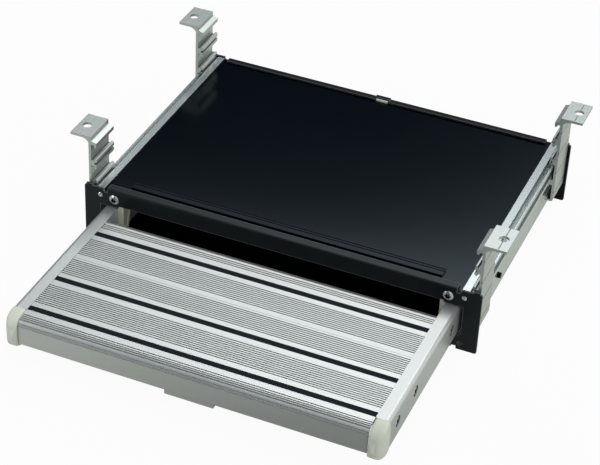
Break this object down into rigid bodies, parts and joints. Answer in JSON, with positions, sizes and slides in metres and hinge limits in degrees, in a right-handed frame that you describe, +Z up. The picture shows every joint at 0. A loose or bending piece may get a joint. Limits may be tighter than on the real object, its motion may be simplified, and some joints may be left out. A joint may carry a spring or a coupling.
{
  "type": "caravan pull out step",
  "caption": "Aluminium entrance step that slides out of a flat black cassette hung under a caravan floor on comb brackets, with ribbed tread, grip strips and release handle.",
  "frame": {"origin": "centre of the four chassis bolt holes, in the plane of the brackets' top faces", "axes": "+X along the tread to the right of someone who steps up, +Y from the nose towards the vehicle, +Z up"},
  "size_m": [0.5204, 0.5638, 0.142],
  "materials": {
    "anodised_aluminium": "satin anodised",
    "black_coated_steel": "black powder coat",
    "black_cover_sheet": "satin black sheet",
    "black_rubber": "matte",
    "ivory_plastic": "moulded",
    "cream_plastic": "moulded",
    "zinc_steel": "bright zinc plated",
    "black_steel": "black oxide"
  },
  "bodies": {
    "cassette": {"guide_left": "anodised_aluminium", "guide_right": "anodised_aluminium", "stop_block_left": "cream_plastic", "stop_block_right": "cream_plastic", "stop_screws": "zinc_steel", "side_pad_left": "cream_plastic", "side_pad_right": "cream_plastic", "side_pad_screws": "black_steel", "front_plate": "black_coated_steel", "rear_plate": "black_coated_steel", "rear_catch": "ivory_plastic", "front_plate_screws": "zinc_steel", "front_plate_pins": "zinc_steel", "rear_plate_screws": "zinc_steel", "rear_plate_pins": "zinc_steel", "top_cover": "black_cover_sheet", "cover_strip": "black_rubber", "bottom_cover": "black_cover_sheet", "latch_keeper": "zinc_steel", "bracket_front_left": "anodised_aluminium", "bracket_front_right": "anodised_aluminium", "bracket_rear_left": "anodised_aluminium", "bracket_rear_right": "anodised_aluminium"},
    "step": {"tread_front_profile": "anodised_aluminium", "tread_rear_profile": "anodised_aluminium", "grip_strip_front": "black_rubber", "grip_strip_middle": "black_rubber", "grip_strip_rear": "black_rubber", "rail_left": "anodised_aluminium", "rail_right": "anodised_aluminium", "end_cap_left": "ivory_plastic", "end_cap_right": "ivory_plastic", "rail_screws_left": "zinc_steel", "rail_screws_right": "zinc_steel", "rear_crossbar": "anodised_aluminium", "rear_shoe_left": "cream_plastic", "rear_shoe_right": "cream_plastic", "guide_block_left": "cream_plastic", "guide_block_right": "cream_plastic", "handle_bracket": "zinc_steel", "handle_pin": "zinc_steel", "latch_bracket": "zinc_steel", "latch_pin": "zinc_steel", "latch_spring": "zinc_steel"},
    "release_handle": {"release_handle": "anodised_aluminium"},
    "release_rod": {"release_rod": "zinc_steel"},
    "latch_pawl": {"latch_pawl": "zinc_steel"}
  },
  "joints": [
    {"name": "step_slide", "type": "slide", "parent": "cassette", "child": "step", "axis": [0, 1, 0], "range_m": [0, 0.205]},
    {"name": "rod_slide", "type": "slide", "parent": "step", "child": "release_rod", "axis": [0, -1, 0], "range_m": [0, 0.0026]},
    {"name": "handle_pivot", "type": "hinge", "parent": "step", "child": "release_handle", "pos_m": [0, -0.3797, -0.1192], "axis": [1, 0, 0], "range_deg": [0, 25]},
    {"name": "latch_pivot", "type": "hinge", "parent": "step", "child": "latch_pawl", "pos_m": [0, -0.1889, -0.1192], "axis": [1, 0, 0], "range_deg": [0, 25], "stiffness_Nm_per_rad": 0.1, "springref_deg": -17.19}
  ],
  "couplings": [
    {"joint": "handle_pivot", "follows": "rod_slide", "rad_per_m": 166.67},
    {"joint": "latch_pivot", "follows": "rod_slide", "rad_per_m": 166.67}
  ]
}
